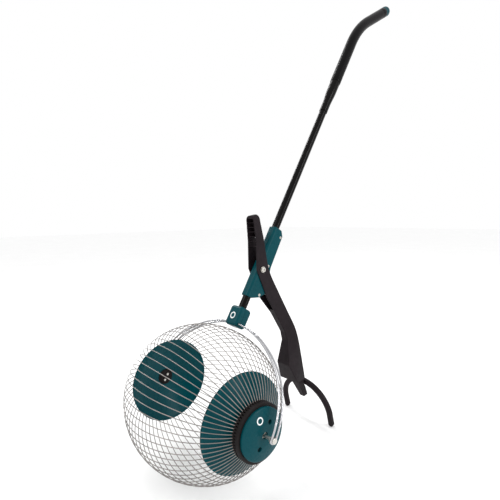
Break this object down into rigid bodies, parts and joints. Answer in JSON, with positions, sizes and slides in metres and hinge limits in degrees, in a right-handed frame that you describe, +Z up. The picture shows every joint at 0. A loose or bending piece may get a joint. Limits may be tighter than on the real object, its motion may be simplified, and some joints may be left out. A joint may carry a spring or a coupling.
{
  "type": "rolling fruit gatherer",
  "caption": "Push-along gatherer: a rolling wire cage on a bail and axle pins, a long bent handle, and a squeeze lever with a fork that opens the cage wires.",
  "frame": {"origin": "on the floor, under the centre of the bounding box, with the tool standing on its cage and fork", "axes": "+X along the cage axle, +Y back towards the user, +Z up; the tube leans back towards +Y"},
  "size_m": [0.419, 0.8345, 1.1257],
  "materials": {
    "cage_wire": "drawn steel wire with a bright galvanised skin",
    "bail_steel": "polished spring wire",
    "teal_plastic": "moulded, satin to gloss",
    "teal_cap": "moulded, matte",
    "black_plastic": "moulded, satin",
    "lever_plastic": "fine spark texture",
    "black_steel": "gloss powder coat",
    "grip_rubber": "matte soft sleeve",
    "zinc_steel": "bright zinc plate",
    "spring_steel": "oil-tempered wire",
    "bush_nylon": "natural nylon"
  },
  "bodies": {
    "frame": {"bail_left": "bail_steel", "bail_right": "bail_steel", "axle_pin_left": "zinc_steel", "axle_pin_right": "zinc_steel", "axle_clips": "zinc_steel", "axle_washers": "zinc_steel", "block_front": "teal_plastic", "block_back": "teal_plastic", "block_screws": "zinc_steel", "shaft_tube": "black_steel", "handle_tube": "black_steel", "snap_button": "zinc_steel", "grip_sleeve": "grip_rubber", "end_cap": "teal_cap", "bracket_left": "teal_plastic", "bracket_right": "teal_plastic", "bracket_screws": "zinc_steel", "pivot_bolt": "zinc_steel", "pivot_nut": "zinc_steel", "pivot_washers": "zinc_steel", "return_spring": "spring_steel"},
    "basket": {"wires_upper_front": "cage_wire", "wires_lower_front": "cage_wire", "wires_lower_back": "cage_wire", "wires_upper_back": "cage_wire", "comb_hub_left": "black_plastic", "comb_hub_right": "black_plastic", "hub_disc_left": "teal_plastic", "hub_disc_right": "teal_plastic", "hub_cap_left": "teal_plastic", "hub_cap_right": "teal_plastic", "hub_cap_screws": "zinc_steel", "hub_bush_left": "bush_nylon", "hub_bush_right": "bush_nylon", "inner_plate_left": "black_plastic", "inner_plate_right": "black_plastic", "inner_plate_screws": "zinc_steel"},
    "lever": {"lever": "lever_plastic", "fork": "lever_plastic", "fork_screws": "zinc_steel", "lever_bush_left": "bush_nylon", "lever_bush_right": "bush_nylon"}
  },
  "joints": [
    {"name": "basket_spin", "type": "hinge", "parent": "frame", "child": "basket", "pos_m": [0, -0.26727, 0.14999], "axis": [1, 0, 0], "continuous": true},
    {"name": "lever_squeeze", "type": "hinge", "parent": "frame", "child": "lever", "pos_m": [0, -0.11016, 0.39967], "axis": [-1, 0, 0], "range_deg": [0, 18], "stiffness_Nm_per_rad": 1, "springref_deg": -28.65}
  ]
}
